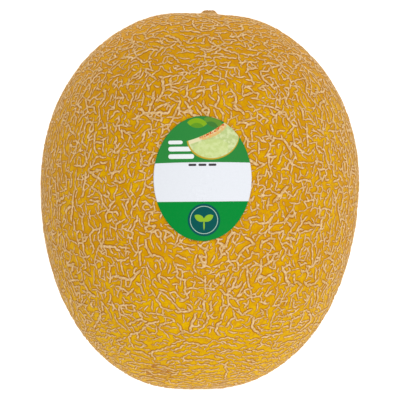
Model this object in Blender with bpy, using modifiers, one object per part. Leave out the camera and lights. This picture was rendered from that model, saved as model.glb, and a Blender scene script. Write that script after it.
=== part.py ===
"""A netted dessert melon lying on its side, with the oval paper label that is stuck on its upper side.

Metres, +Z up. The long axis lies along Y, with the stem end at +Y and the blossom end at -Y.
The origin is on the surface that the melon rests on, below the middle of its box.
Each shape is first made about the middle of the widest section, where the two halves meet,
and an empty then carries the pieces to their place.
"""

import math

import bmesh
import bpy
from mathutils import Matrix, Vector

# Driving dimensions of the fruit.
MELON_WIDTH = 0.130
STEM_HALF_LENGTH = 0.0718
BLOSSOM_HALF_LENGTH = 0.0842
# The exponents of the superellipse that each half's outline follows: 2 is an ellipse, more is blunter.
STEM_FULLNESS = 2.08
BLOSSOM_FULLNESS = 2.15
# How far the blossom tip drifts sideways from the long axis.
BLOSSOM_DRIFT = -0.0018
# The rind's section is slightly out of round, widest on the slanting diameters.
OUT_OF_ROUND = 0.0005
# What the ground has flattened, where the fruit lay.
GROUND_FLAT_DEPTH = 0.0008

# The stem scar: a corky plug in a shallow dimple, a little to one side of the long axis.
STEM_OFFSET = 0.0037
STEM_DIMPLE_DEPTH = 0.0024
STEM_DIMPLE_RADIUS = 0.011
PLUG_RADIUS = 0.0054
PLUG_TAPER = 0.0034
PLUG_HEIGHT = 0.0022
PLUG_ROOT = 0.0015
PLUG_EDGE = 0.0009

# The blossom scar: a shallow dent where the flower was.
BLOSSOM_DENT_DEPTH = 0.0005
BLOSSOM_DENT_RADIUS = 0.006

# The label, an oval of paper.
LABEL_WIDTH = 0.0380
LABEL_LENGTH = 0.0485
LABEL_THICKNESS = 0.0002
LABEL_GAP = 0.0003
# From the middle of the widest section to the middle of the label.
LABEL_ASIDE = 0.0010
LABEL_TOWARDS_STEM = 0.0022

# How finely the pieces are divided.
RIND_MERIDIANS = 56
RIND_RINGS = 36
PLUG_SIDES = 28
LABEL_SIDES = 40
LABEL_RINGS = 6

HALF_WIDTH = MELON_WIDTH / 2
CUTTER_DEPTH = 0.010

# Colours of the two pieces, linear.
RIND_COLOUR = (0.52, 0.29, 0.045, 1.0)
LABEL_COLOUR = (0.04, 0.25, 0.06, 1.0)


def clear_scene():
    for obj in list(bpy.data.objects):
        bpy.data.objects.remove(obj, do_unlink=True)


def new_collection(name, hidden=False):
    collection = bpy.data.collections.new(name)
    collection.hide_render = hidden
    bpy.context.scene.collection.children.link(collection)
    return collection


def material(name, colour, roughness):
    made = bpy.data.materials.new(name)
    made.use_nodes = True
    shader = made.node_tree.nodes["Principled BSDF"]
    shader.inputs["Base Color"].default_value = colour
    shader.inputs["Roughness"].default_value = roughness
    shader.inputs["Metallic"].default_value = 0.0
    made.diffuse_color = colour
    return made


def object_from(bm, name, collection, finish=None):
    mesh = bpy.data.meshes.new(name)
    bm.to_mesh(mesh)
    bm.free()
    obj = bpy.data.objects.new(name, mesh)
    collection.objects.link(obj)
    if finish:
        mesh.materials.append(finish)
    return obj


def hide_helper(obj):
    obj.hide_render = True
    obj.display_type = "WIRE"


def boolean(obj, operation, other):
    modifier = obj.modifiers.new(other.name, "BOOLEAN")
    modifier.operation = operation
    modifier.solver = "EXACT"
    modifier.object = other


def dent(distance, radius, depth):
    """How deep a soft round dent is at this distance from its middle."""
    return depth * math.exp(-((distance / radius) ** 2))


def rind_point(direction):
    """The point of the rind that lies this way from the middle of the widest section."""
    stem_side = direction.y > 0
    half_length = STEM_HALF_LENGTH if stem_side else BLOSSOM_HALF_LENGTH
    fullness = STEM_FULLNESS if stem_side else BLOSSOM_FULLNESS
    across = math.hypot(direction.x, direction.z)
    reach = (across / HALF_WIDTH) ** fullness + (abs(direction.y) / half_length) ** fullness
    point = direction * reach ** (-1 / fullness)

    turn = math.atan2(direction.z, direction.x)
    radius = math.hypot(point.x, point.z)
    swell = OUT_OF_ROUND * math.sin(2 * turn) * (radius / HALF_WIDTH) ** 2
    point += Vector((math.cos(turn), 0, math.sin(turn))) * swell

    if stem_side:
        from_stem = math.hypot(point.x - STEM_OFFSET, point.z)
        point.y -= dent(from_stem, STEM_DIMPLE_RADIUS, STEM_DIMPLE_DEPTH)
    else:
        point.y += dent(radius, BLOSSOM_DENT_RADIUS, BLOSSOM_DENT_DEPTH)
        point.x += BLOSSOM_DRIFT * (-point.y / BLOSSOM_HALF_LENGTH) ** 3
    return point


def rind_body(collection, finish):
    """The whole fruit but its stem plug: a sphere with its poles at the two ends, shaped by rind_point."""
    bm = bmesh.new()
    poles_along_y = Matrix.Rotation(math.radians(-90), 4, "X")
    bmesh.ops.create_uvsphere(
        bm, u_segments=RIND_MERIDIANS, v_segments=RIND_RINGS, radius=1.0, matrix=poles_along_y
    )
    for vertex in bm.verts:
        vertex.co = rind_point(vertex.co.normalized())
    return object_from(bm, "melon", collection, finish)


def stem_floor():
    """How far the rind reaches towards the stem, at the middle of the plug."""
    beside_axis = Vector((STEM_OFFSET, STEM_HALF_LENGTH, 0)).normalized()
    return rind_point(beside_axis).y


def stem_plug(collection):
    """The corky scar, rooted in the flesh so that it joins the fruit."""
    bm = bmesh.new()
    length = PLUG_ROOT + PLUG_HEIGHT
    middle = Vector((STEM_OFFSET, stem_floor() + (PLUG_HEIGHT - PLUG_ROOT) / 2, 0))
    upright_to_y = Matrix.Rotation(math.radians(-90), 4, "X")
    bmesh.ops.create_cone(
        bm,
        cap_ends=True,
        segments=PLUG_SIDES,
        radius1=PLUG_RADIUS,
        radius2=PLUG_RADIUS - PLUG_TAPER,
        depth=length,
        matrix=Matrix.Translation(middle) @ upright_to_y,
    )
    top = max(vertex.co.y for vertex in bm.verts)
    rim = [e for e in bm.edges if all(v.co.y > top - PLUG_EDGE / 10 for v in e.verts)]
    bmesh.ops.bevel(bm, geom=rim, offset=PLUG_EDGE, segments=2, affect="EDGES", profile=0.5)
    plug = object_from(bm, "stem_plug_shape", collection)
    hide_helper(plug)
    return plug


def ground_cutter(collection):
    """A block whose top is the surface that the fruit rests on."""
    bm = bmesh.new()
    bmesh.ops.create_cube(bm, size=1.0)
    reach = 2 * max(STEM_HALF_LENGTH, BLOSSOM_HALF_LENGTH)
    bmesh.ops.scale(bm, vec=(MELON_WIDTH, reach, CUTTER_DEPTH), verts=bm.verts)
    top = -HALF_WIDTH + GROUND_FLAT_DEPTH
    bmesh.ops.translate(bm, vec=(0, 0, top - CUTTER_DEPTH / 2), verts=bm.verts)
    cutter = object_from(bm, "ground_shape", collection)
    hide_helper(cutter)
    return cutter


def label_sheet(collection, finish, melon):
    """The paper oval, in rings so that it bends both ways, laid on the fruit and thickened."""
    bm = bmesh.new()
    bmesh.ops.create_circle(bm, cap_ends=True, segments=LABEL_SIDES, radius=1.0)
    core = bm.faces[:]
    for _ in range(LABEL_RINGS - 1):
        bmesh.ops.inset_region(bm, faces=core, thickness=1.0 / LABEL_RINGS, use_boundary=True)
        core = [max(bm.faces, key=lambda face: len(face.verts))]
    bmesh.ops.poke(bm, faces=core)
    bmesh.ops.scale(bm, vec=(LABEL_WIDTH / 2, LABEL_LENGTH / 2, 1), verts=bm.verts)
    above = (LABEL_ASIDE, LABEL_TOWARDS_STEM, MELON_WIDTH)
    bmesh.ops.translate(bm, vec=above, verts=bm.verts)
    label = object_from(bm, "label", collection, finish)

    lay = label.modifiers.new("lay_on_melon", "SHRINKWRAP")
    lay.target = melon
    lay.wrap_method = "PROJECT"
    lay.wrap_mode = "ABOVE_SURFACE"
    lay.use_project_z = True
    lay.use_negative_direction = True
    lay.use_positive_direction = False
    lay.offset = LABEL_GAP

    paper = label.modifiers.new("paper", "SOLIDIFY")
    paper.thickness = LABEL_THICKNESS
    paper.offset = 1.0
    return label


def resting_place(melon):
    """Where the middle of the widest section goes, so that the box is centred and the flat is at zero."""
    bpy.context.view_layer.update()
    built = melon.evaluated_get(bpy.context.evaluated_depsgraph_get())
    low = [min(corner[axis] for corner in built.bound_box) for axis in range(3)]
    high = [max(corner[axis] for corner in built.bound_box) for axis in range(3)]
    return (-(low[0] + high[0]) / 2, -(low[1] + high[1]) / 2, -low[2])


def main():
    clear_scene()
    pieces = new_collection("netted_melon")
    helpers = new_collection("cutters", hidden=True)

    melon = rind_body(pieces, material("rind", RIND_COLOUR, 0.6))
    boolean(melon, "UNION", stem_plug(helpers))
    boolean(melon, "DIFFERENCE", ground_cutter(helpers))
    label = label_sheet(pieces, material("label_paper", LABEL_COLOUR, 0.35), melon)
    for obj in (melon, label):
        obj.data.shade_smooth()
    melon.data.set_sharp_from_angle(angle=math.radians(35))

    middle = bpy.data.objects.new("widest_section", None)
    pieces.objects.link(middle)
    middle.location = resting_place(melon)
    for obj in (melon, label, *helpers.objects):
        obj.parent = middle


main()
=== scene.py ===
"""The looks of the netted melon and its label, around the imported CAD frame. Metres, +Z up.

The rind is a fine closed mesh that follows the CAD fruit's shape to about a millimetre. Its cork net is
grown as cracks over that surface and raised on it, and the same cracks say where the material is cork.
The stem scar and the paper label are pieces of their own.
"""

import math

import bmesh
import bpy
import numpy as np
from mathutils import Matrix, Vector, kdtree, noise


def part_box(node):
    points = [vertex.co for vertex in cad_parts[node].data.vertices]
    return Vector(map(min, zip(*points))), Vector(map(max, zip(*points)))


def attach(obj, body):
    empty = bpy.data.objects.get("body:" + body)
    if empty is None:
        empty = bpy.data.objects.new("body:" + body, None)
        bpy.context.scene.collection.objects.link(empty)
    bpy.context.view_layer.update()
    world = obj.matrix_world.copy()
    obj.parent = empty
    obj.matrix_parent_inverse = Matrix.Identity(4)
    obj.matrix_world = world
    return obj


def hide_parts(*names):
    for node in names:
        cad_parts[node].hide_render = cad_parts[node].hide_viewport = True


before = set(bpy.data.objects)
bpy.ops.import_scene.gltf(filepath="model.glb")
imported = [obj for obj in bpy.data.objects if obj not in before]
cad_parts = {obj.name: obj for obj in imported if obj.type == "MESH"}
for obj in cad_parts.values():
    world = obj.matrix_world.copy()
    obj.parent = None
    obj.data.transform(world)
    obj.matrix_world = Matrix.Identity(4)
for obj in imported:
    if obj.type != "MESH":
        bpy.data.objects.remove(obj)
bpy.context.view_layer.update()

MM = 0.001

# ---------------------------------------------------------------- the fruit's shape, from the frame

LOW, HIGH = (np.array(corner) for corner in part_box("melon"))
LABEL_LOW, LABEL_HIGH = (np.array(corner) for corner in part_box("label"))
WIDTH = HIGH[0] - LOW[0]
LENGTH = HIGH[1] - LOW[1]
HALF_WIDTH = WIDTH / 2
# As the CAD's rind has them: its half lengths as shares of the whole length, the exponents of the
# superellipses that its two halves follow, how far the blossom end drifts sideways, how far the section
# is out of round, where the stem's plug is and how wide, and how deep the blossom's dent is.
STEM_HALF_LENGTH = 0.4625 * LENGTH
BLOSSOM_HALF_LENGTH = 0.5424 * LENGTH
STEM_FULLNESS = 2.08
BLOSSOM_FULLNESS = 2.15
BLOSSOM_DRIFT = -1.8 * MM
OUT_OF_ROUND = 0.5 * MM
STEM_OFFSET = 3.7 * MM
PLUG_RADIUS = 5.4 * MM
CAD_BLOSSOM_DENT = 0.5 * MM
# The middle of the widest section.
CENTRE = np.array([0.0, LOW[1] + BLOSSOM_HALF_LENGTH - CAD_BLOSSOM_DENT, HIGH[2] - HALF_WIDTH])
# A little different from the CAD's: the radius and depth of the two ends' dents, and how much flatter
# the right flank is towards the blossom, where along the axis, and over what reach.
STEM_DIMPLE = (14.0 * MM, 3.1 * MM)
BLOSSOM_DENT = (13.0 * MM, 1.2 * MM)
FLAT_FLANK = (1.1 * MM, -36.0 * MM, 28.0 * MM)
COLLAR = 2.6 * MM  # how far the cork around the plug runs out
BLOSSOM_SCAR = 3.0 * MM  # the radius of the corky disc at the blossom end
# A scuffed patch beside the blossom end: its middle in plan, and its radius.
SCUFF = (-16.0 * MM, -71.0 * MM, 9.0 * MM)
# The paler, smoother spot where the fruit lay on the ground: its radius, and how far its edge fades.
GROUND_SPOT = (13.0 * MM, 9.0 * MM)
SMALLEST_LENGTH = 1e-12  # keeps unit() from dividing by zero


def unit(vectors):
    return vectors / np.maximum(np.linalg.norm(vectors, axis=-1, keepdims=True), SMALLEST_LENGTH)


def dent(distance, size):
    """How deep a soft round dent is at this distance from its middle; size is its radius and depth."""
    radius, depth = size
    return depth * np.exp(-((distance / radius) ** 2))


def swell_at(turn, radius, y):
    """How far the rind swells at this turn about the axis, radius and place along the axis."""
    depth, place, reach = FLAT_FLANK
    flat = depth * np.clip(np.cos(turn), 0, None) ** 2 * np.exp(-(((y - place) / reach) ** 2))
    return OUT_OF_ROUND * np.sin(2 * turn) * (radius / HALF_WIDTH) ** 2 - flat


def drift_at(y):
    """How far the blossom half has drifted sideways, this far along the axis."""
    return BLOSSOM_DRIFT * np.clip(-y / BLOSSOM_HALF_LENGTH, 0, None) ** 3


def dents_at(x, y, z):
    """How far the stem's and the blossom's dents move the rind along the axis."""
    stem = -dent(np.hypot(x - STEM_OFFSET, z), STEM_DIMPLE)
    return np.where(y > 0, stem, dent(np.hypot(x, z), BLOSSOM_DENT))


def on_rind(directions):
    """The points of the bare rind that belong to these directions from CENTRE, one row each."""
    d = unit(directions)
    stem_side = d[..., 1] > 0
    half_length = np.where(stem_side, STEM_HALF_LENGTH, BLOSSOM_HALF_LENGTH)
    fullness = np.where(stem_side, STEM_FULLNESS, BLOSSOM_FULLNESS)
    across = np.hypot(d[..., 0], d[..., 2]) / HALF_WIDTH
    reach = (across**fullness + (np.abs(d[..., 1]) / half_length) ** fullness) ** (-1 / fullness)
    x, y, z = (d[..., i] * reach for i in range(3))
    turn, radius = np.arctan2(z, x), np.hypot(x, z)
    radius = radius + swell_at(turn, radius, y)
    x, z = np.cos(turn) * radius, np.sin(turn) * radius
    y = y + dents_at(x, y, z)
    return np.stack([x + drift_at(y), y, z], axis=-1) + CENTRE


def back_on_rind(points):
    """Points that have come a little off the bare rind, put back on it where they are."""
    x, y, z = (points - CENTRE).T
    x = x - drift_at(y)
    y = y - dents_at(x, y, z)
    turn, radius = np.arctan2(z, x), np.hypot(x, z)
    inner = radius - swell_at(turn, radius - swell_at(turn, radius, y), y)
    return on_rind(np.stack([np.cos(turn) * inner, y, np.sin(turn) * inner], -1))


def smoothstep(low, high, x):
    """0 up to low, 1 from high on, and smooth in between."""
    t = np.clip((x - low) / (high - low), 0, 1)
    return t * t * (3 - 2 * t)


# ---------------------------------------------------------------- the net of cork

SEED = 41
SAMPLE = 0.22 * MM  # between the points that stand for a ridge
RIDGE_WIDTH = 0.77 * MM
RIDGE_HEIGHT = 0.27 * MM
# The rounds in which cracks open: how many such rounds, how many cracks each tries in open skin and how
# many as branches, how long those in open skin are, how wide they all are as a share of RIDGE_WIDTH,
# and how far at least from any ridge those in open skin start.
ROUNDS = (
    (4, 80, 0, 9.0 * MM, 1.3, 3.5 * MM),
    (5, 560, 160, 6.0 * MM, 1.18, 2.4 * MM),
    (6, 1150, 330, 4.8 * MM, 1.06, 1.92 * MM),
    (6, 2000, 440, 3.7 * MM, 1.0, 1.62 * MM),
    (5, 3200, 560, 2.6 * MM, 0.92, 1.46 * MM),
    (3, 5000, 600, 1.7 * MM, 0.86, 1.34 * MM),
    (2, 5000, 0, 1.1 * MM, 0.78, 1.2 * MM),
)
# Where a zone begins and where it's full, as shares of the half length: at both ends more cracks run
# across the axis, and at the blossom end most of them stay apart.
END_ZONES = (0.50, 0.74)
BLOSSOM_ZONE = (0.5, 0.72)
STRAY = 0.2  # radians by which cracks stray from the way they tend to run, on the flanks
STRAY_ON_TOP = 0.36  # and so much more midway between the flanks
MOST_LEAN = 1.05  # radians by which whole patches of the net lean, midway between the flanks
CROSSING = (0.3, 0.66)  # the share of cracks that run square to the rest, and so much more at the ends
CRACK_SPREAD = 0.4  # how much the cracks' lengths differ, and
WIDTH_SPREAD = 0.16  # their widths, as the spread of a logarithm
BRANCH_REACH = 2.4 * MM  # what a branch runs at the least, before that spread
BRANCH_CLEAR = (1.15 * MM, 0.85 * MM)  # so far along it, a branch is at least so far from any ridge
BRANCH_APART = 1.5 * MM
GRACE = 0.9 * MM  # how far a crack runs before a ridge can stop it, so that a branch gets off its own
TOUCH = 0.45 * MM  # how near to a ridge a crack stops when it runs into it
JOINED = TOUCH * 1.5  # so near, it has become one with the ridge
STOP_SHORT = 1.0 * MM  # how near those stop that don't run into it
BESIDE = 0.85 * MM  # how near it stops when it would run along beside the ridge
PARALLEL = 0.92  # the cosine of the angle below which it does
BEND = 90.0  # the curve of a crack, radians to the metre
KINK_CHANCE, KINK_TURN = 0.07, 0.62  # at each step, and by how many radians
WOBBLE = (0.42, 2.6 * MM)  # how far a crack swings to each side, in radians, and how long a swing is
TAPER = (0.62, 0.9 * MM)  # how much of its width a free end loses, and over what length
THINNEST = 0.46 * MM
HASH_CELL = 3.4 * MM  # of the grid in which starting points are looked up
AXIS = np.array([0.0, 1.0, 0.0])


def outward_at(points):
    """The unit vectors that point straight out of the skin, near enough."""
    out = points - CENTRE
    half = np.where(out[:, 1] > 0, STEM_HALF_LENGTH, BLOSSOM_HALF_LENGTH)
    wide = np.full(len(out), HALF_WIDTH)
    return unit(out / np.stack([wide, half, wide], -1) ** 2)


def noise_at(points, cycles):
    """Smooth noise of about -1 to 1 at each point, with so many cycles to the metre."""
    return np.array([noise.noise(p) for p in (points * cycles).tolist()])


def turned(ahead, side, angle):
    """The directions ahead, turned towards the side by this angle."""
    return ahead * np.cos(angle)[:, None] + side * np.sin(angle)[:, None]


def grain_at(points):
    """The way that cracks tend to run at each point, how much they stray from it in radians, and how
    far the point is into the zones round the two ends, 0 to 1, where they rather run across it."""
    out = points - CENTRE
    outward = outward_at(points)
    along = unit(AXIS - outward * outward[:, 1:2])
    around = np.cross(outward, along)
    half = np.where(out[:, 1] > 0, STEM_HALF_LENGTH, BLOSSOM_HALF_LENGTH)
    flank = np.abs(out[:, 0]) / HALF_WIDTH
    ends = smoothstep(*END_ZONES, np.abs(out[:, 1]) / half)
    stray = STRAY - 0.06 * ends + STRAY_ON_TOP * (1 - flank) * (1 - ends)
    lean = (MOST_LEAN - np.maximum(0.8 * flank, 0.9 * ends)) * noise_at(points, 32.0)
    return turned(along, around, lean), stray, ends


def blossom_zone(points):
    """1 round the blossom end, where most ridges stay apart, 0 elsewhere."""
    return smoothstep(*BLOSSOM_ZONE, (CENTRE[1] - points[:, 1]) / BLOSSOM_HALF_LENGTH)


def stem_zone(points, low, high):
    """0 to 1 between these shares of the half length towards the stem."""
    return smoothstep(low, high, (points[:, 1] - CENTRE[1]) / STEM_HALF_LENGTH)


def tree_of(points):
    """A search tree of the ridges' points."""
    tree = kdtree.KDTree(len(points))
    for index, p in enumerate(points.tolist()):
        tree.insert(p, index)
    tree.balance()
    return tree


def room_at(points, tree):
    """How far each point is from the nearest ridge so far."""
    return np.array([tree.find(p)[2] for p in points.tolist()])


def crowded(cells, key, p, h, s, far, wide):
    """Whether a chosen point is already within the oval round p, far along h and wide along s."""
    for dx in (-1, 0, 1):
        for dy in (-1, 0, 1):
            for dz in (-1, 0, 1):
                for q in cells.get((key[0] + dx, key[1] + dy, key[2] + dz), ()):
                    x, y, z = q[0] - p[0], q[1] - p[1], q[2] - p[2]
                    ahead = (x * h[0] + y * h[1] + z * h[2]) / far
                    across = (x * s[0] + y * s[1] + z * s[2]) / wide
                    if ahead * ahead + across * across < 1:
                        return True
    return False


def spread_out(points, heading, far, wide):
    """Which points to keep so that none lies within another's oval, far by wide half sizes."""
    side = np.cross(outward_at(points), heading)
    cells, chosen = {}, []
    rows = zip(points.tolist(), heading.tolist(), side.tolist())
    for index, (p, h, s) in enumerate(rows):
        key = tuple(int(c // HASH_CELL) for c in p)
        if not crowded(cells, key, p, h, s, far, wide):
            cells.setdefault(key, []).append(p)
            chosen.append(index)
    return chosen


def start_in_skin(rng, tree, tries, length, gap):
    """Places in open skin where cracks start, and the way that they run."""
    points = on_rind(rng.normal(size=(tries, 3)))
    if tree:
        uneven = 0.24 * noise_at(points + 1.0, 60.0)
        share = 1 + uneven + 0.12 * stem_zone(points, 0.6, 0.9) - 0.06 * blossom_zone(points)
        points = points[room_at(points, tree) > gap * share]
    grain, stray, ends = grain_at(points)
    side = np.cross(outward_at(points), grain)
    often, more_at_ends = CROSSING
    crossing = (rng.random(len(points)) < often + more_at_ends * ends) * math.pi / 2
    heading = turned(grain, side, rng.normal(0, 1, len(points)) * stray + crossing)
    far = min(0.75 * length, HASH_CELL)
    chosen = spread_out(points, heading, far, gap)
    return points[chosen], heading[chosen]


def start_on_ridges(rng, tree, net, tries):
    """Places on ridges where branches start, and the way that they leave."""
    picked = rng.integers(len(net[0]), size=tries)
    points, tangent = net[0][picked], net[1][picked]
    side = np.cross(outward_at(points), tangent) * rng.choice([-1, 1], tries)[:, None]
    heading = turned(side, tangent, rng.normal(0, 0.42, tries))
    along, clear = BRANCH_CLEAR
    free = room_at(points + heading * along, tree) > clear
    free &= rng.random(tries) > 0.8 * blossom_zone(points)
    points, heading = points[free], heading[free]
    chosen = spread_out(points, heading, BRANCH_APART, BRANCH_APART)
    return points[chosen], heading[chosen]


def widths_of(rng, share, shift, count):
    """The widths of so many cracks of this share of RIDGE_WIDTH, give or take."""
    return RIDGE_WIDTH * share * np.exp(rng.normal(shift, WIDTH_SPREAD, count))


def open_cracks(rng, tree, net, tries, branches, length, share, gap):
    """One round's cracks: where they start, the way they leave, how wide they are, and how far they
    tend to run. Each crack in open skin is there twice, since it runs both ways from its start."""
    starts, headings = start_in_skin(rng, tree, tries, length, gap)
    width = widths_of(rng, share, 0, len(starts))
    starts, headings = np.concatenate([starts, starts]), np.concatenate([headings, -headings])
    width = np.concatenate([width, width])
    reach = np.full(len(starts), length / 2)
    if branches:
        more, leaving = start_on_ridges(rng, tree, net, branches)
        starts, headings = np.concatenate([starts, more]), np.concatenate([headings, leaving])
        width = np.concatenate([width, widths_of(rng, share, -0.05, len(more))])
        reach = np.concatenate([reach, np.full(len(more), max(BRANCH_REACH, 0.75 * length))])
    return starts, headings, width, reach


def habits_of(rng, starts, ends):
    """How each crack curves, where in its swing it starts, and how near to a ridge it stops."""
    count = len(starts)
    bend = rng.normal(0, BEND * SAMPLE, count) * (1 - 0.4 * ends)
    phase = rng.uniform(0, 2 * math.pi, count)
    # More of them join up towards the stem, and fewer at the blossom end.
    joining = 0.78 + 0.17 * stem_zone(starts, 0.2, 0.6)
    joining = joining - 0.5 * blossom_zone(starts)
    stop = np.where(rng.random(count) < joining, TOUCH, STOP_SHORT)
    return bend, phase, stop


def turn_at(rng, step, bend, phase, ends):
    """How far each crack turns at this step, in radians."""
    swing, turn_a_step = WOBBLE[0], 2 * math.pi * SAMPLE / WOBBLE[1]
    kink = (rng.random(len(bend)) < KINK_CHANCE) * rng.choice([-KINK_TURN, KINK_TURN], len(bend))
    kink = kink * (1 - 0.5 * ends)
    wobble = swing * (0.5 + 0.5 * ends) * turn_a_step * np.cos(step * turn_a_step + phase)
    return bend + kink + wobble


def meets(points, heading, stop, tree, net):
    """Which cracks have come to a ridge or would run along beside one, and which have joined it."""
    found = [tree.find(p)[1:] for p in points.tolist()]
    index = np.array([hit[0] for hit in found], int)
    away = np.array([hit[1] for hit in found])
    parallel = np.abs((heading * net[1][index]).sum(1)) > PARALLEL
    return (away < stop) | ((away < BESIDE) & parallel), away < JOINED


def run_cracks(rng, tree, net, starts, headings, lengths):
    """Each crack step by step from its start: points, headings, which steps it took, and whether it met
    another ridge at its end."""
    _, _, ends = grain_at(starts)
    bend, phase, stop = habits_of(rng, starts, ends)
    alive = np.ones(len(starts), bool)
    met = np.zeros(len(starts), bool)
    path, way, took = [starts], [headings], [alive]
    for step in range(1, int(lengths.max() / SAMPLE) + 1):
        outward = outward_at(path[-1])
        turn = turn_at(rng, step, bend, phase, ends)
        ahead = turned(way[-1], np.cross(outward, way[-1]), turn)
        here = back_on_rind(path[-1] + ahead * SAMPLE)
        alive = alive & (step * SAMPLE <= lengths)
        took_last = alive.copy()
        if tree and step * SAMPLE > GRACE:
            running = np.flatnonzero(alive)
            near, joined = meets(here[running], ahead[running], stop[running], tree, net)
            met[running[near & joined]] = True
            took_last[running[near & ~joined]] = False
            alive[running[near]] = False
        path.append(here)
        way.append(unit(ahead - outward * (ahead * outward).sum(1, keepdims=True)))
        took.append(took_last)
        if not alive.any():
            break
    return np.stack(path, 1), np.stack(way, 1), np.stack(took, 1), met


def tapered(width, took, met):
    """Each crack's width at each of its steps: it thins out towards an end that met no ridge."""
    loss, over = TAPER
    left = (took.sum(1, keepdims=True) - 1 - np.arange(took.shape[1])) * SAMPLE
    taper = 1 - loss * np.clip(1 - left / over, 0, 1) ** 1.4
    return width[:, None] * np.where(met[:, None], 1.0, taper)


def grow_net():
    """The ridges' points, the way each ridge runs there, and its width there.

    Cracks open in rounds, the long ones first and then shorter ones in what skin is left. Each runs
    until its length is spent or it meets a ridge. Some start on a ridge and branch off it.
    """
    rng = np.random.default_rng(SEED)
    net, tree = None, None
    for sizes in (row[1:] for row in ROUNDS for _ in range(row[0])):
        starts, headings, width, reach = open_cracks(rng, tree, net, *sizes)
        _, _, ends = grain_at(starts)
        lengths = reach * np.exp(rng.normal(0, CRACK_SPREAD, len(starts))) * (1 + 0.25 * ends)
        path, way, took, met = run_cracks(rng, tree, net, starts, headings, lengths)
        added = path[took], way[took], tapered(width, took, met)[took]
        net = added if net is None else tuple(np.concatenate(both) for both in zip(net, added))
        tree = tree_of(net[0])
    points, tangents, widths = net
    widths = widths * (1 + 0.2 * noise_at(points, 800.0)) * (1 + 0.16 * noise_at(points + 3.0, 50.0))
    return points, tangents, np.maximum(widths, THINNEST)


# ---------------------------------------------------------------- the rind's mesh

FACE_CUTS = 410  # quads along each side of the six charts
EVEN_OUT = 1.13  # draws the charts' lines towards the two ends, so that the quads differ less in size
MAP_MARGIN = 0.006  # round each chart in the map, as a share of the map's width
WELD_STEPS = 1e7  # to the metre: points on the same step are one
SKIN_HOLLOW = 0.04 * MM  # how deep the skin lies along a ridge
SKIN_WAVES = 0.05 * MM
SUNK = 0.95  # how far bare skin lies below the CAD's shape, as a share of RIDGE_HEIGHT
SCAR_RINGS = (0.16 * MM, 0.55 * MM)  # the blossom scar's: their height, and their spacing over 2 pi


def cube_sphere(n):
    """Six square charts that cover a sphere: the corners' directions, and the quads between them."""
    s = np.tan(np.linspace(-1, 1, n + 1) * math.pi / 4)
    u, v = np.meshgrid(s, s, indexing="ij")
    one = np.ones_like(u)
    charts = ((one, u, v), (-one, v, u), (v, one, u), (u, -one, v), (u, v, one), (v, u, -one))
    directions = np.concatenate([np.stack(c, -1).reshape(-1, 3) for c in charts])
    i, j = np.meshgrid(np.arange(n), np.arange(n), indexing="ij")
    corner = (i * (n + 1) + j).reshape(-1)
    quad = np.stack([corner, corner + n + 1, corner + n + 2, corner + 1], -1)
    quads = np.concatenate([quad + k * (n + 1) ** 2 for k in range(6)])
    return directions, quads


def chart_map(n):
    """Each corner's place in the map, where the six charts lie in two rows of three."""
    place = np.linspace(0, 1, n + 1)
    u, v = np.meshgrid(place, place, indexing="ij")
    maps = []
    for k in range(6):
        row, column = divmod(k, 3)
        across = (column + u * (1 - 6 * MAP_MARGIN) + 3 * MAP_MARGIN) / 3
        up = (row + v * (1 - 4 * MAP_MARGIN) + 2 * MAP_MARGIN) / 2
        maps.append(np.stack([across, up], -1).reshape(-1, 2))
    return np.concatenate(maps)


def weld(points, quads):
    """Points that share a place made one, as along the charts' edges."""
    rounded = np.round(points * WELD_STEPS).astype(np.int64)
    _, first, index = np.unique(rounded, axis=0, return_index=True, return_inverse=True)
    return points[first], index.reshape(-1)[quads]


def mesh_from(name, points, quads, uv):
    mesh = bpy.data.meshes.new(name)
    mesh.vertices.add(len(points))
    mesh.vertices.foreach_set("co", points.astype(np.float32).reshape(-1))
    mesh.loops.add(quads.size)
    mesh.loops.foreach_set("vertex_index", quads.astype(np.int32).reshape(-1))
    mesh.polygons.add(len(quads))
    mesh.polygons.foreach_set("loop_start", np.arange(0, quads.size, 4, dtype=np.int32))
    mesh.update(calc_edges=True)
    mesh.validate()
    layer = mesh.uv_layers.new(name="OFBake")
    layer.uv.foreach_set("vector", uv.astype(np.float32).reshape(-1))
    mesh.shade_smooth()
    return mesh


def attribute(mesh, name, values):
    """Gives each of the mesh's points a value that its material can read."""
    layer = mesh.attributes.new(name, "FLOAT", "POINT")
    layer.data.foreach_set("value", values.astype(np.float32))


def new_piece(name, mesh):
    piece = bpy.data.objects.new(name, mesh)
    bpy.context.scene.collection.objects.link(piece)
    return piece


def vertex_normals(points, quads):
    a, b, c, d = (points[quads[:, k]] for k in range(4))
    face = np.cross(c - a, d - b)
    normals = np.zeros_like(points)
    for k in range(4):
        for axis in range(3):
            added = np.bincount(quads[:, k], weights=face[:, axis], minlength=len(points))
            normals[:, axis] += added
    return normals / np.linalg.norm(normals, axis=1, keepdims=True)


def nearest_ridge(points, net, count=4):
    """For each point, how far inside a ridge it is (1 on the crest line, 0 at its edge, falling below
    0 beyond it) and that ridge's width."""
    samples, tangents, widths = net
    tree = tree_of(samples)
    found = np.empty((len(points), count), np.int64)
    for row, p in enumerate(points.tolist()):
        found[row] = [hit[1] for hit in tree.find_n(p, count)]
    offset = points[:, None, :] - samples[found]
    along = np.clip((offset * tangents[found]).sum(-1), -SAMPLE / 2, SAMPLE / 2)
    away = np.linalg.norm(offset - along[..., None] * tangents[found], axis=-1)
    radius = widths[found] / 2
    inside = 1 - away / radius
    best = inside.argmax(axis=1)
    rows = np.arange(len(points))
    return inside[rows, best], radius[rows, best] * 2


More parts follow.
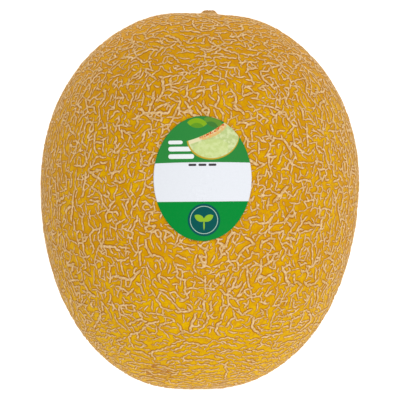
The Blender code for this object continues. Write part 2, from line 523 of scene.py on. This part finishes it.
def scar_at(points):
    """How near each point is to the scar at its end, 1 on it and 0 well away, and how far the point is
    from the blossom scar's axis."""
    out = points - CENTRE
    from_stem = np.hypot(out[:, 0] - STEM_OFFSET, out[:, 2])
    from_blossom = np.hypot(out[:, 0] - BLOSSOM_DRIFT, out[:, 2])
    uneven = 1 + 0.16 * noise_at(points, 420.0)
    stem = 1 - smoothstep(0.0, 1.0, (from_stem * uneven - PLUG_RADIUS) / COLLAR)
    blossom = 1 - smoothstep(0.0, 1.0, (from_blossom * uneven - BLOSSOM_SCAR) / (COLLAR / 2))
    return np.where(out[:, 1] > 0, stem, blossom), from_blossom


def under_plan(x, y):
    """The rind's points on its upper side that lie right below or above these plan positions."""
    target = np.stack([x, y], -1)
    aim = np.stack([x - CENTRE[0], y - CENTRE[1], np.full_like(x, HALF_WIDTH)], -1)
    for _ in range(8):
        found = on_rind(aim)
        aim = found - CENTRE
        aim[:, :2] += target - found[:, :2]
    return on_rind(aim)


def scuff_at(points):
    """How scuffed the rind is at each point, 0 to 1."""
    x, y, radius = SCUFF
    middle = under_plan(np.array([x]), np.array([y]))[0]
    far = np.linalg.norm(points - middle, axis=1) / radius
    return (1 - smoothstep(0.35, 1.25, far)) * (0.55 + 0.45 * noise_at(points, 260.0))


def ground_at(points):
    """1 in the middle of the spot that lay on the ground, 0 outside it."""
    radius, fade = GROUND_SPOT
    far = np.hypot(points[:, 0], (points[:, 1] - CENTRE[1]) * 0.75)
    far = far * (1 + 0.28 * noise_at(points, 70.0))
    return (1 - smoothstep(0.0, 1.0, (far - radius) / fade)) * (points[:, 2] < CENTRE[2])


def relief_at(points, inside, width, scar, from_blossom):
    """How far the rind stands above the CAD's shape: rounded ridges, wavy skin and rough scars."""
    dome = np.clip(inside, 0, 1)
    lift = (1 - (1 - dome) ** 2.2) * RIDGE_HEIGHT * (width / RIDGE_WIDTH) ** 0.8
    beside = np.exp(-((np.clip(-inside, 0, None) / 0.55) ** 2)) * (inside <= 0)
    skin = -SKIN_HOLLOW * beside + SKIN_WAVES * noise_at(points, 140.0)
    high, spacing = SCAR_RINGS
    rings = high * np.sin(from_blossom / spacing) * (points[:, 1] < CENTRE[1])
    crust = RIDGE_HEIGHT * (0.9 + 0.45 * noise_at(points, 700.0)) + rings
    return np.maximum(lift + skin, crust * scar) - RIDGE_HEIGHT * SUNK


def build_rind(net):
    """The whole fruit but its stem plug, with the net raised on it."""
    directions, quads = cube_sphere(FACE_CUTS)
    uv = chart_map(FACE_CUTS)[quads.reshape(-1)]
    base, quads = weld(on_rind(directions * (1, EVEN_OUT, 1)), quads)
    inside, width = nearest_ridge(base, net)
    scar, from_blossom = scar_at(base)
    scuff, ground = scuff_at(base), ground_at(base)
    # The ridges are lower on the ground spot, and ragged where the rind is scuffed.
    inside = inside - 0.25 * ground + 0.35 * scuff * (0.2 + noise_at(base, 1100.0))

    height = relief_at(base, inside, width, scar, from_blossom)
    points = base + vertex_normals(base, quads) * height[:, None]
    # What rests is flat.
    points[:, 2] = np.maximum(points[:, 2], LOW[2])
    mesh = mesh_from("rind", points, quads, uv)
    attribute(mesh, "cork", np.maximum(inside, (scar - 0.35) * 2.2))
    attribute(mesh, "scar", scar)
    attribute(mesh, "scuff", scuff)
    attribute(mesh, "ground", ground)
    return new_piece("rind", mesh)


# ---------------------------------------------------------------- the stem scar

PLUG_SECTORS, PLUG_RINGS = 176, 78
# Shares of the plug's radius and of its height, from under the rind to the middle of its top.
PLUG_OUTLINE = np.array([
    (0.40, -0.8), (1.16, -0.7), (1.26, -0.20), (1.04, 0.02), (0.88, 0.13), (0.75, 0.29), (0.63, 0.49),
    (0.52, 0.70), (0.39, 0.86), (0.29, 0.93), (0.20, 0.88), (0.13, 0.82), (0.06, 0.84),
])


def polar_mesh(name, rings):
    """A closed mesh from rings of points, each (sectors, 3), with a pole before the first and one after
    the last."""
    sectors = rings.shape[1]
    points = np.concatenate([rings.reshape(-1, 3), rings[:1].mean(1), rings[-1:].mean(1)])
    first, last = len(points) - 2, len(points) - 1
    i = np.arange(sectors)
    j = (i + 1) % sectors
    faces = []
    for ring in range(len(rings) - 1):
        a = ring * sectors
        faces += np.stack([a + i, a + j, a + sectors + j, a + sectors + i], -1).tolist()
    top = (len(rings) - 1) * sectors
    faces += np.stack([np.full(sectors, first), j, i], -1).tolist()
    faces += np.stack([np.full(sectors, last), top + i, top + j], -1).tolist()
    mesh = bpy.data.meshes.new(name)
    mesh.from_pydata(points.tolist(), [], faces)
    mesh.shade_smooth()
    return mesh


def plug_rings(top):
    """The plug's plain shape about its own axis, this high: rings of points, and the turn of each."""
    steps = np.linspace(0, len(PLUG_OUTLINE) - 1, PLUG_RINGS)
    radius = np.interp(steps, np.arange(len(PLUG_OUTLINE)), PLUG_OUTLINE[:, 0]) * PLUG_RADIUS
    height = np.interp(steps, np.arange(len(PLUG_OUTLINE)), PLUG_OUTLINE[:, 1]) * top
    for _ in range(3):
        radius[1:-1] = (radius[:-2] + 2 * radius[1:-1] + radius[2:]) / 4
        height[1:-1] = (height[:-2] + 2 * height[1:-1] + height[2:]) / 4
    angle = np.linspace(0, 2 * math.pi, PLUG_SECTORS, endpoint=False)
    around = np.stack([np.cos(angle), np.zeros_like(angle), -np.sin(angle)], -1)
    rings = around[None] * radius[:, None, None]
    rings[:, :, 1] = height[:, None]
    return rings, np.tile(angle, PLUG_RINGS)


def roughen(points, turn, top):
    """Moves the plug's points to give it lumps, fibres, grit and a ring of pits round its middle, and
    says how far each point is on its top."""
    lumps = noise_at(points * (1, 0.5, 1), 420.0)
    fibres = noise_at(np.stack([np.cos(turn) * 9, points[:, 1] * 300, np.sin(turn) * 9], -1), 1.0)
    grit = noise_at(points, 1900.0)
    out = np.hypot(points[:, 0], points[:, 2]) / PLUG_RADIUS
    pits = np.abs(np.sin(turn * 5 + 3 * lumps)) * np.exp(-(((out - 0.24) / 0.08) ** 2))
    above = smoothstep(0.0, 0.4, points[:, 1] / top)
    on_top = smoothstep(0.5, 0.8, points[:, 1] / top)
    points[:, ::2] *= (1 + 0.07 * lumps + 0.05 * fibres * above)[:, None]
    points[:, 1] += top * (0.08 * fibres * on_top + 0.06 * grit * above - 0.12 * pits * on_top)
    return on_top


def build_stem_scar():
    """The dry plug that the stem left: a flared collar, a torn rim and a fibrous, sunken top."""
    floor = float(on_rind(np.array([[STEM_OFFSET, STEM_HALF_LENGTH, 0.0]]))[0, 1])
    top = HIGH[1] - floor
    rings, turn = plug_rings(top)
    points = rings.reshape(-1, 3)
    on_top = roughen(points, turn, top)
    points += (STEM_OFFSET + CENTRE[0], floor, CENTRE[2])
    mesh = polar_mesh("stem_scar", points.reshape(rings.shape))
    attribute(mesh, "dry", np.append(on_top, [0.0, 1.0]))
    return new_piece("stem_scar", mesh)


# ---------------------------------------------------------------- the label

LABEL_MIDDLE = (LABEL_LOW + LABEL_HIGH) / 2
LABEL_RIM = 0.14 * MM  # what the thickness at its sloping rim adds to the label's plan
LABEL_HALF = (LABEL_HIGH - LABEL_LOW) / 2 - LABEL_RIM
LABEL_RINGS, LABEL_SECTORS = 64, 208
PAPER = 0.14 * MM
OVER_RIDGES = 0.10 * MM  # how far above the CAD's rind the paper is
PAPER_WAVES = 0.045 * MM
SHOWS_THROUGH = 0.05 * MM  # how far a ridge lifts the paper


def label_rings(net):
    """The paper's underside, bent over the fruit, with the ridges under it showing through softly."""
    ring = np.linspace(1 / LABEL_RINGS, 1, LABEL_RINGS)
    angle = np.linspace(0, 2 * math.pi, LABEL_SECTORS, endpoint=False)
    x = LABEL_MIDDLE[0] + LABEL_HALF[0] * np.outer(ring, np.cos(angle)).reshape(-1)
    y = LABEL_MIDDLE[1] + LABEL_HALF[1] * np.outer(ring, np.sin(angle)).reshape(-1)
    points = under_plan(x, y)
    share = np.repeat(ring, LABEL_SECTORS)
    waves = noise_at(points, 210.0) * (0.35 + 0.65 * share**3)
    inside, _ = nearest_ridge(points, net, 2)
    pressed = np.exp(-((np.clip(1 - inside, 0, None) / 1.5) ** 2))
    lift = OVER_RIDGES + PAPER_WAVES * waves + SHOWS_THROUGH * pressed
    points = points + unit(points - CENTRE) * lift[:, None]
    return points.reshape(LABEL_RINGS, LABEL_SECTORS, 3)


def build_label(net):
    """The oval sheet of paper."""
    rings = label_rings(net)
    bm = bmesh.new()
    rows = [[bm.verts.new(p) for p in ring] for ring in rings]
    hub = bm.verts.new(rings[0].mean(0))
    for i in range(LABEL_SECTORS):
        j = (i + 1) % LABEL_SECTORS
        bm.faces.new((hub, rows[0][i], rows[0][j]))
        for inner, outer in zip(rows, rows[1:]):
            bm.faces.new((inner[i], outer[i], outer[j], inner[j]))
    mesh = bpy.data.meshes.new("paper_label")
    bm.to_mesh(mesh)
    bm.free()
    mesh.shade_smooth()
    label = new_piece("paper_label", mesh)
    paper = label.modifiers.new("paper", "SOLIDIFY")
    paper.thickness = PAPER
    paper.offset = 1.0
    return label


# ---------------------------------------------------------------- materials


class Nodes:
    """A short way to write a material's nodes."""

    def __init__(self, name):
        self.material = bpy.data.materials.new(name)
        self.material.use_nodes = True
        self.tree = self.material.node_tree
        self.shader = self.tree.nodes["Principled BSDF"]
        self.own_place = None

    def set(self, socket, value):
        if isinstance(value, bpy.types.NodeSocket):
            self.tree.links.new(value, socket)
        else:
            socket.default_value = value

    def add(self, kind, inputs=(), out=0, **settings):
        node = self.tree.nodes.new(kind)
        for key, value in settings.items():
            setattr(node, key, value)
        pairs = inputs.items() if isinstance(inputs, dict) else enumerate(inputs)
        for key, value in pairs:
            self.set(node.inputs[key], value)
        return node.outputs[out]

    def math(self, operation, *values):
        return self.add("ShaderNodeMath", values, operation=operation)

    def both(self, a, b):
        return self.math("MULTIPLY", a, b)

    def less(self, a, b):
        return self.math("MULTIPLY", a, self.math("SUBTRACT", 1.0, b))

    def ramp(self, x, low, high, to_low=0.0, to_high=1.0):
        """x from low..high to to_low..to_high, smoothly, and flat outside."""
        values = (x, low, high, to_low, to_high)
        return self.add("ShaderNodeMapRange", values, interpolation_type="SMOOTHSTEP")

    def mix(self, factor, a, b):
        """The colour a where the factor is 0, and b where it's 1."""
        inputs = {0: factor, 6: a, 7: b}  # by number, since several sockets share the names A and B
        return self.add("ShaderNodeMix", inputs, out=2, data_type="RGBA")

    def place(self):
        """Where each point is, in metres."""
        if self.own_place is None:
            self.own_place = self.add("ShaderNodeTexCoord", out="Object")
        return self.own_place

    def part(self, vector, axis):
        return self.add("ShaderNodeSeparateXYZ", (vector,), out=axis)

    def noise(self, scale, detail, roughness=0.5, distortion=0.0):
        inputs = {"Vector": self.place(), "Scale": scale, "Detail": detail}
        inputs.update({"Roughness": roughness, "Distortion": distortion})
        return self.add("ShaderNodeTexNoise", inputs)

    def attribute(self, name):
        return self.add("ShaderNodeAttribute", out="Fac", attribute_name=name)

    def surface(self, base, roughness, specular, grain, strength, depth):
        """The material, with this colour and gloss, and a grain so fine that it's only shaded."""
        self.set(self.shader.inputs["Base Color"], base)
        self.set(self.shader.inputs["Roughness"], roughness)
        self.set(self.shader.inputs["Specular IOR Level"], specular)
        bump = self.add("ShaderNodeBump", {"Height": grain, "Strength": strength, "Distance": depth})
        self.set(self.shader.inputs["Normal"], bump)
        return self.material


def linear(level):
    """A channel's level as it's seen on a screen, 0 to 255, made linear."""
    share = level / 255
    return share / 12.92 if share <= 0.04045 else ((share + 0.055) / 1.055) ** 2.4


def colour(r, g, b):
    return (linear(r), linear(g), linear(b), 1.0)


SKIN_DEEP, SKIN_BRIGHT = colour(209, 153, 0), colour(233, 187, 0)
SKIN_PATCH = colour(214, 156, 0)
SKIN_AT_STEM, SKIN_AT_BLOSSOM = colour(212, 146, 2), colour(240, 198, 0)
SKIN_SPECK = colour(186, 126, 0)
FLECK = colour(202, 138, 34)
# Beside each ridge: a deeper amber skin tone, and painted shade in the hollow where the ridge shades
# the skin.
NEAR_RIDGE_TONE_AND_SHADE, HOLLOW_TONE_AND_SHADE = colour(200, 128, 2), colour(150, 82, 6)
NEAR_SCAR = colour(196, 132, 60)
SCUFFED, RUBBED = colour(170, 104, 46), colour(160, 92, 30)
GROUND_SKIN = colour(230, 200, 108)
CORK_DULL, CORK_PALE = colour(206, 163, 98), colour(235, 203, 154)
# The colour for the ridges' rounded edges is painted shade; the scars' colour is dull cork.
CORK_EDGE_SHADE, CORK_SCAR = colour(180, 121, 44), colour(158, 108, 62)
PLUG_SIDE = colour(196, 146, 80), colour(224, 184, 124)
PLUG_TOP = colour(176, 130, 70), colour(212, 170, 110)


def bare_skin(m, fine):
    """Mottled yellow, deeper towards the stem and brighter towards the blossom."""
    broad = m.noise(45.0, 2.0)
    patch = m.noise(240.0, 3.0, 0.55)
    along = m.part(m.place(), "Y")
    skin = m.mix(m.ramp(patch, 0.38, 0.64), SKIN_DEEP, SKIN_BRIGHT)
    skin = m.mix(m.ramp(broad, 0.4, 0.65, 0.0, 0.4), skin, SKIN_PATCH)
    skin = m.mix(m.ramp(along, 25 * MM, 65 * MM, 0.0, 0.45), skin, SKIN_AT_STEM)
    skin = m.mix(m.ramp(along, -15 * MM, -55 * MM, 0.0, 0.5), skin, SKIN_AT_BLOSSOM)
    return m.mix(m.ramp(fine, 0.52, 0.72, 0.0, 0.35), skin, SKIN_SPECK)


def marked_skin(m, skin, fine, cork, scar):
    """The skin with flecks of cork, a deeper skin tone darkened by painted shade in the hollow along
    each ridge, and its blemishes.
    """
    fleck = m.noise(820.0, 1.0, 0.5, 0.6)
    skin = m.mix(m.ramp(fleck, 0.54, 0.6, 0.0, 0.6), skin, FLECK)
    # Beside each ridge the skin turns deeper amber, and painted shade darkens it further towards the
    # ridge's edge, where the ridge shades the hollow.
    skin = m.mix(m.ramp(cork, -1.2, -0.3, 0.0, 0.45), skin, NEAR_RIDGE_TONE_AND_SHADE)
    skin = m.mix(m.ramp(cork, -0.62, -0.04, 0.0, 0.92), skin, HOLLOW_TONE_AND_SHADE)
    skin = m.mix(m.ramp(scar, 0.0, 0.5, 0.0, 0.75), skin, NEAR_SCAR)
    scuffed = m.both(m.ramp(m.attribute("scuff"), 0.05, 0.7), m.ramp(fleck, 0.42, 0.54, 0.25, 0.9))
    skin = m.mix(scuffed, skin, SCUFFED)
    # Here and there the skin is rubbed brown.
    rubbed = m.ramp(m.noise(62.0, 3.0, 0.6), 0.66, 0.74)
    skin = m.mix(m.both(rubbed, m.ramp(fine, 0.4, 0.6, 0.2, 0.8)), skin, RUBBED)
    return m.mix(m.both(m.attribute("ground"), 0.55), skin, GROUND_SKIN)


def cork_colour(m, cork, scar):
    """Mottled pale cork, with painted shade darkening each ridge's rounded edges so that its crest
    reads paler, and dull on the scars.
    """
    mottle = m.noise(900.0, 3.0, 0.6)
    bark = m.mix(m.ramp(mottle, 0.35, 0.68), CORK_DULL, CORK_PALE)
    # Painted shade along each ridge's edges, standing in for the shade its rounded sides catch.
    bark = m.mix(m.ramp(cork, 0.0, 0.45, 0.9, 0.0), bark, CORK_EDGE_SHADE)
    return m.mix(m.both(scar, m.ramp(mottle, 0.3, 0.6, 0.3, 0.8)), bark, CORK_SCAR)


def rind_material():
    m = Nodes("netted_rind")
    cork = m.attribute("cork")
    scar = m.attribute("scar")
    fine = m.noise(1300.0, 2.0, 0.6)
    skin = marked_skin(m, bare_skin(m, fine), fine, cork, scar)
    bark = cork_colour(m, cork, scar)
    edge = m.math("ADD", cork, m.math("MULTIPLY_ADD", fine, 0.22, -0.11))
    is_cork = m.ramp(edge, -0.02, 0.14)
    roughness = m.ramp(is_cork, 0.0, 1.0, 0.5, 0.85)
    grit = m.noise(2600.0, 4.0, 0.65)
    return m.surface(m.mix(is_cork, skin, bark), roughness, 0.03, grit, 0.35, 0.12 * MM)


def stem_material():
    m = Nodes("dry_stem_cork")
    mottle = m.ramp(m.noise(800.0, 4.0, 0.65), 0.35, 0.7)
    on_top = m.ramp(m.attribute("dry"), 0.2, 1.0)
    base = m.mix(on_top, m.mix(mottle, *PLUG_SIDE), m.mix(mottle, *PLUG_TOP))
    grit = m.noise(3000.0, 4.0, 0.7)
    return m.surface(base, 0.9, 0.1, grit, 0.6, 0.15 * MM)


# ---------------------------------------------------------------- the label's print, in millimetres

INK_EDGE = 0.07  # how soft a printed edge is
PRINT_TURN = 0.5  # degrees, how far the print sits out of line with the fruit
BAND_TOP, BAND_FOOT = 6.3, -8.95  # the white band's edges
BAND_BOW = 0.0009  # how much its upper edge bows: this times the square of the distance from the middle
DEEP = 1000.0  # stands for no limit across the paper
# Plain bars where words would be: each one's middle, width and height.
WORD_BARS = ((-10.4, 14.1, 5.6, 1.4), (-8.6, 11.5, 9.2, 1.8), (-8.2, 8.6, 10.0, 1.8))
SMALL_BARS = ((-3.9, 5.3, 3.1, 0.9), (0.0, 5.3, 3.1, 0.9), (3.9, 5.3, 3.1, 0.9))
# The wedge's ovals: each one's middle, half sizes and turn. What lies in WEDGE_CUT is taken away.
WEDGE_RIND = (4.2, 16.0, 10.3, 8.6, 12)
WEDGE_FLESH = (4.35, 16.25, 9.9, 8.3, 12)
WEDGE_CUT = (-15.5, 53.0, 39.6, 39.6)
NEAR_CUT = (-15.2, 52.2, 40.2, 40.2)
SEAL_MIDDLE = (0.4, -16.1)

PAPER_WHITE, WHITE_INK, DARK_INK = colour(232, 235, 241), colour(238, 242, 242), colour(62, 58, 62)
UPPER_GREEN, LOWER_GREEN = colour(44, 136, 60), colour(0, 139, 54)
FLESH_DULL, FLESH_PALE = colour(188, 204, 134), colour(216, 226, 170)
FLESH_GREEN = colour(206, 222, 140)
FLESH_RIM, WEDGE_SKIN = colour(232, 224, 178), colour(196, 162, 44)
PULP_INK, SEED_INK = colour(232, 176, 96), colour(206, 84, 34)
LEFT_LEAF = colour(132, 176, 22), colour(98, 154, 30)
RIGHT_LEAF = colour(98, 146, 44), colour(64, 124, 50)
SEAL_TEAL, SEAL_RING, SPROUT = colour(0, 84, 82), colour(196, 222, 204), colour(146, 188, 44)
PAPER_FIBRE = colour(110, 130, 110)


class Print(Nodes):
    """Flat shapes of ink, placed in millimetres from the label's middle."""

    def __init__(self, name):
        super().__init__(name)
        middle = tuple(float(c) for c in LABEL_MIDDLE)
        turn = (0.0, 0.0, math.radians(PRINT_TURN))
        inputs = {"Vector": self.place(), "Location": middle, "Rotation": turn, "Scale": (MM, MM, MM)}
        self.plan = self.add("ShaderNodeMapping", inputs, vector_type="TEXTURE")

    def local(self, x, y, turn=0.0, wide=1.0, high=1.0):
        """The plan as seen from a shape's own middle, in its own half sizes."""
        inputs = {"Vector": self.plan, "Location": (x, y, 0), "Rotation": (0, 0, math.radians(turn))}
        inputs["Scale"] = (wide, high, DEEP)
        return self.add("ShaderNodeMapping", inputs, vector_type="TEXTURE")

    def vector(self, operation, *values, out=0):
        return self.add("ShaderNodeVectorMath", values, out=out, operation=operation)

    def oval(self, x, y, wide, high, turn=0.0):
        """1 inside an oval with these half sizes, 0 outside."""
        reach = self.vector("LENGTH", self.local(x, y, turn, wide, high), out="Value")
        soft = INK_EDGE / min(wide, high)
        return self.ramp(reach, 1 + soft, 1 - soft)

    def bar(self, x, y, wide, high):
        """1 inside a bar of this width and height with round ends, 0 outside."""
        corner = high / 2
        inner = (max(wide / 2 - corner, 0.0), 0.0, DEEP)
        beyond = self.vector("SUBTRACT", self.vector("ABSOLUTE", self.local(x, y)), inner)
        reach = self.vector("LENGTH", self.vector("MAXIMUM", beyond, (0, 0, 0)), out="Value")
        return self.ramp(reach, corner + INK_EDGE, corner - INK_EDGE)


def print_ground(m):
    """Green above and below an empty white band."""
    across, up = m.part(m.plan, "X"), m.part(m.plan, "Y")
    bowed = m.math("MULTIPLY_ADD", m.both(across, across), BAND_BOW, up)
    above = m.ramp(bowed, BAND_TOP - INK_EDGE, BAND_TOP + INK_EDGE)
    below = m.ramp(up, BAND_FOOT + INK_EDGE, BAND_FOOT - INK_EDGE)
    return m.mix(below, m.mix(above, PAPER_WHITE, UPPER_GREEN), LOWER_GREEN)


def print_bars(m, ink, bars, bar_ink):
    for bar in bars:
        ink = m.mix(m.bar(*bar), ink, bar_ink)
    return ink


def print_leaves(m, ink):
    """Two plain leaves behind the wedge, each where two discs overlap, with a darker lower half."""
    for x, y, lean, (light, dark) in ((-1.9, 21.6, -4, LEFT_LEAF), (4.4, 21.9, -22, RIGHT_LEAF)):
        rise = math.radians(lean + 90)
        ends = [(x + side * 3.1 * math.cos(rise), y + side * 3.1 * math.sin(rise)) for side in (-1, 1)]
        leaf = m.both(m.oval(*ends[0], 5.0, 5.0), m.oval(*ends[1], 5.0, 5.0))
        ink = m.mix(leaf, ink, light)
        ink = m.mix(m.both(leaf, m.oval(*ends[0], 3.15, 3.15)), ink, dark)
    return ink


def print_wedge(m, ink):
    """A wedge of melon: its rind, its flesh, and the seeds along its cut side."""
    cut = m.oval(*WEDGE_CUT)
    wedge = m.less(m.oval(*WEDGE_RIND), cut)
    flesh = m.less(m.oval(*WEDGE_FLESH), cut)
    cloud = m.noise(700.0, 3.0)
    pale = m.mix(m.ramp(cloud, 0.35, 0.65), FLESH_DULL, FLESH_PALE)
    pale = m.mix(m.oval(3.4, 11.6, 6.8, 3.6, 8), pale, m.mix(0.5, pale, FLESH_GREEN))
    pale = m.mix(m.less(flesh, m.less(m.oval(*WEDGE_RIND), m.oval(*NEAR_CUT))), pale, FLESH_RIM)
    ink = m.mix(wedge, ink, WEDGE_SKIN)
    ink = m.mix(flesh, ink, pale)
    pulp = m.both(flesh, m.oval(4.2, 18.2, 5.9, 1.9, 27))
    ink = m.mix(m.both(pulp, m.ramp(cloud, 0.35, 0.6, 0.35, 0.9)), ink, PULP_INK)
    grain = m.ramp(m.noise(1500.0, 1.0), 0.46, 0.54)
    seeds = m.both(m.both(flesh, m.oval(3.6, 18.5, 5.6, 1.1, 27)), grain)
    return m.mix(seeds, ink, SEED_INK)


def print_seal(m, ink):
    """A plain round seal with a ring and a sprout of two leaves."""
    x, y = SEAL_MIDDLE
    ink = m.mix(m.oval(x, y, 6.3, 6.3), ink, SEAL_TEAL)
    ring = m.less(m.oval(x, y, 5.45, 5.45), m.oval(x, y, 5.2, 5.2))
    ink = m.mix(m.both(ring, 0.8), ink, SEAL_RING)
    for side in (-1, 1):
        upper = m.oval(x + side * 1.0, y + 1.9, 2.6, 2.6)
        lower = m.oval(x + side * 2.4, y - 0.5, 2.6, 2.6)
        ink = m.mix(m.both(upper, lower), ink, SPROUT)
    return m.mix(m.oval(x, y - 1.9, 0.3, 1.9), ink, SPROUT)


def label_material():
    m = Print("printed_paper")
    ink = print_ground(m)
    ink = print_bars(m, ink, WORD_BARS, WHITE_INK)
    ink = print_bars(m, ink, SMALL_BARS, DARK_INK)
    ink = print_leaves(m, ink)
    ink = print_wedge(m, ink)
    ink = print_seal(m, ink)
    fibres = m.noise(2200.0, 4.0, 0.7)
    ink = m.mix(m.ramp(fibres, 0.35, 0.75, 0.0, 0.03), ink, PAPER_FIBRE)
    return m.surface(ink, 0.4, 0.05, fibres, 0.12, 0.05 * MM)


# ---------------------------------------------------------------- stage, light and camera

FLOOR_RADIUS = 3.0
FLOOR_DROP = 0.2 * MM  # keeps the floor clear of the fruit's flat spot
FLOOR_GLOW = 0.55  # makes the pale floor read as white
WORLD_LIGHT, WORLD_SEEN = 0.56, 1.0  # how bright the world lights the fruit, and how bright it's seen
LAMP_SIZE = 0.9
# Each lamp's place, and its power in watts.
KEY = ((0.31, -0.85, 1.15), 7.2)
FILL = ((0.12, 0.75, 1.2), 5.4)
CAMERA_DISTANCE = 1.3  # above the fruit's outline, which is at the height of its middle
FRAME_WIDTH = WIDTH * 1.2555  # what the picture's width takes in, at the outline
SENSOR_WIDTH = 36.0  # mm


def build_floor():
    bpy.ops.mesh.primitive_circle_add(vertices=96, radius=FLOOR_RADIUS, fill_type="NGON")
    floor = bpy.context.object
    floor.location = (0, 0, -FLOOR_DROP)
    floor.name = "floor"
    m = Nodes("pale_floor")
    m.set(m.shader.inputs["Base Color"], (0.9, 0.9, 0.9, 1))
    m.set(m.shader.inputs["Roughness"], 0.8)
    m.set(m.shader.inputs["Specular IOR Level"], 0.1)
    m.set(m.shader.inputs["Emission Color"], (1, 1, 1, 1))
    m.set(m.shader.inputs["Emission Strength"], FLOOR_GLOW)
    floor.data.materials.append(m.material)


def area_light(name, place, power):
    data = bpy.data.lights.new(name, "AREA")
    data.shape = "DISK"
    data.size = LAMP_SIZE
    data.energy = power
    lamp = bpy.data.objects.new(name, data)
    lamp.location = place
    aim = Vector((0, 0, HALF_WIDTH)) - Vector(place)
    lamp.rotation_euler = aim.to_track_quat("-Z", "Y").to_euler()
    bpy.context.scene.collection.objects.link(lamp)


def build_light():
    world = bpy.data.worlds.new("studio")
    world.use_nodes = True
    tree = world.node_tree
    background = tree.nodes["Background"]
    background.inputs["Color"].default_value = (1, 1, 1, 1)
    path = tree.nodes.new("ShaderNodeLightPath")
    strength = tree.nodes.new("ShaderNodeMapRange")
    strength.inputs["To Min"].default_value = WORLD_LIGHT
    strength.inputs["To Max"].default_value = WORLD_SEEN
    tree.links.new(path.outputs["Is Camera Ray"], strength.inputs["Value"])
    tree.links.new(strength.outputs[0], background.inputs["Strength"])
    bpy.context.scene.world = world
    area_light("key", *KEY)
    area_light("fill", *FILL)


def build_camera():
    data = bpy.data.cameras.new("camera")
    data.sensor_width = SENSOR_WIDTH
    data.lens = data.sensor_width * CAMERA_DISTANCE / FRAME_WIDTH
    data.clip_end = 20.0
    camera = bpy.data.objects.new("camera", data)
    middle = (LOW + HIGH) / 2
    camera.location = (middle[0], middle[1], CENTRE[2] + CAMERA_DISTANCE)
    bpy.context.scene.collection.objects.link(camera)
    bpy.context.scene.camera = camera


# ---------------------------------------------------------------- all together


def main():
    bpy.context.scene.view_settings.view_transform = "Standard"
    build_camera()
    build_floor()
    build_light()
    net = grow_net()
    rind = build_rind(net)
    rind.data.materials.append(rind_material())
    scar = build_stem_scar()
    scar.data.materials.append(stem_material())
    label = build_label(net)
    label.data.materials.append(label_material())
    for piece in (rind, scar, label):
        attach(piece, "root")
    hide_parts("melon")
    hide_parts("melon")
    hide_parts("label")


main()
